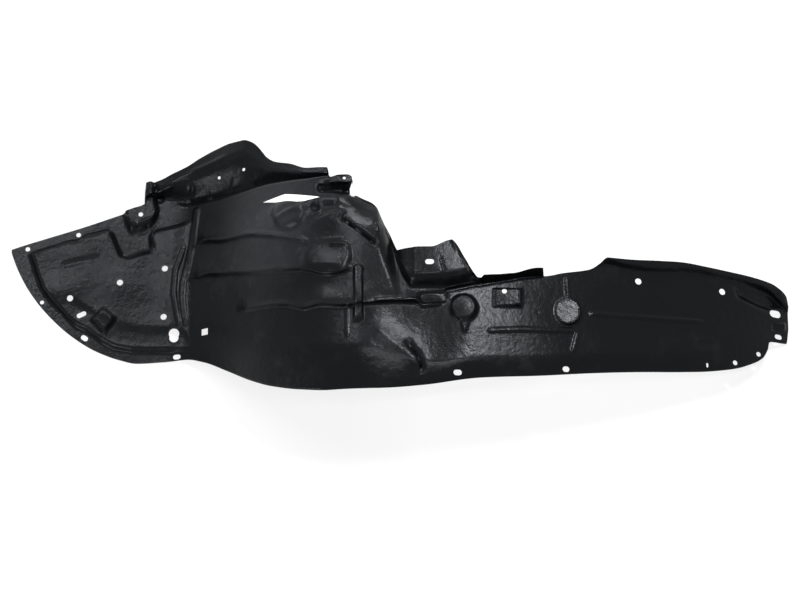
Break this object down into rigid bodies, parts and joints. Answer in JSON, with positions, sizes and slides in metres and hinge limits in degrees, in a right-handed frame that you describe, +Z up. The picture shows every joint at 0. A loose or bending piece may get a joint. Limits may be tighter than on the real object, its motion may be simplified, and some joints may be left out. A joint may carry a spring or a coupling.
{
  "type": "wheel arch liner",
  "caption": "Formed black plastic front wheel arch liner with a flat front panel, a bulge over the suspension and a long rear band.",
  "frame": {"origin": "middle of the part's box, on the ground that it rests on", "axes": "+X along the car towards its rear, +Y inboard, +Z up, with the arch's hollow side down"},
  "size_m": [1.307, 0.455, 0.2624],
  "materials": {
    "sheet": "satin",
    "paper": "matte"
  },
  "bodies": {
    "root": {"liner": "sheet", "paper_label": "paper"}
  },
  "joints": []
}
